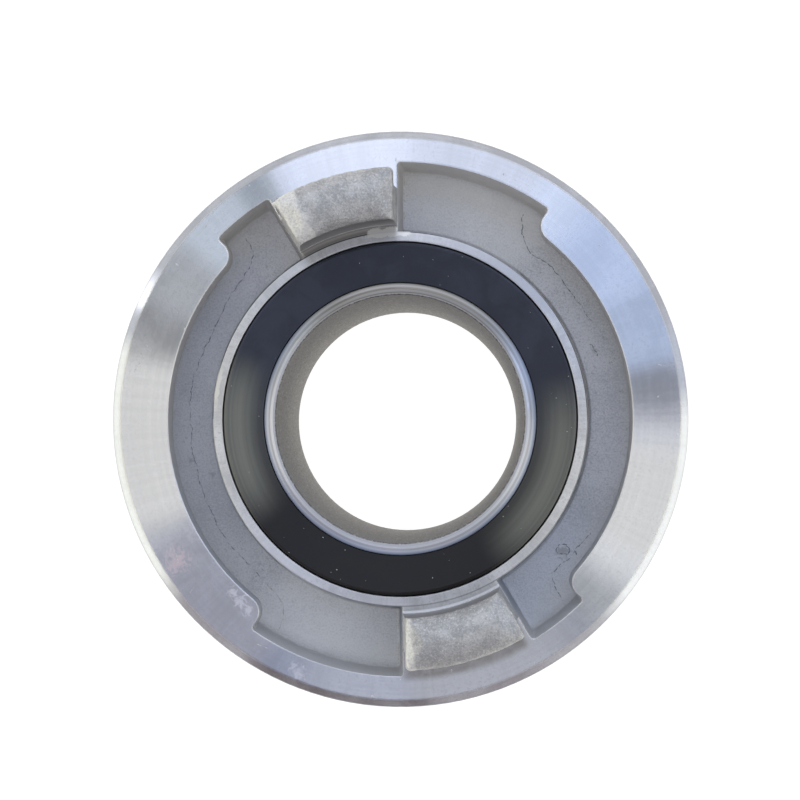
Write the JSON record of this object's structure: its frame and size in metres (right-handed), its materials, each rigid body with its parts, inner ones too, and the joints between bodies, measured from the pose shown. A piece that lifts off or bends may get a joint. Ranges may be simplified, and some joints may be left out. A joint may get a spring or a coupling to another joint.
{
  "type": "quarter turn fire hose coupling",
  "caption": "Fire hose coupling: a cast ring with hooked lugs and wedge teeth turns on a ribbed hose tail, with a rubber face seal around the waterway",
  "frame": {"origin": "middle of the open end of the hose tail, which the coupling stands on", "axes": "+Z runs along the waterway from the hose tail to the mating face; +Y points to the end of one lug and +X to the middle of one tooth"},
  "size_m": [0.098, 0.098, 0.089],
  "materials": {
    "cast_ring": "sand cast, with the rim, hub and lug walls turned bright",
    "turned_tail": "turned, with a duller speckled bore",
    "seal_rubber": "moulded, matt, a little dusty",
    "spring_wire": "drawn wire, dull"
  },
  "bodies": {
    "tail": {"hose_tail": "turned_tail", "face_seal": "seal_rubber", "retaining_ring": "spring_wire"},
    "ring": {"lug_ring": "cast_ring"}
  },
  "joints": [
    {"name": "lug_ring_swivel", "type": "hinge", "parent": "tail", "child": "ring", "pos_m": [0, 0, 0.0605], "axis": [0, 0, 1], "continuous": true}
  ]
}
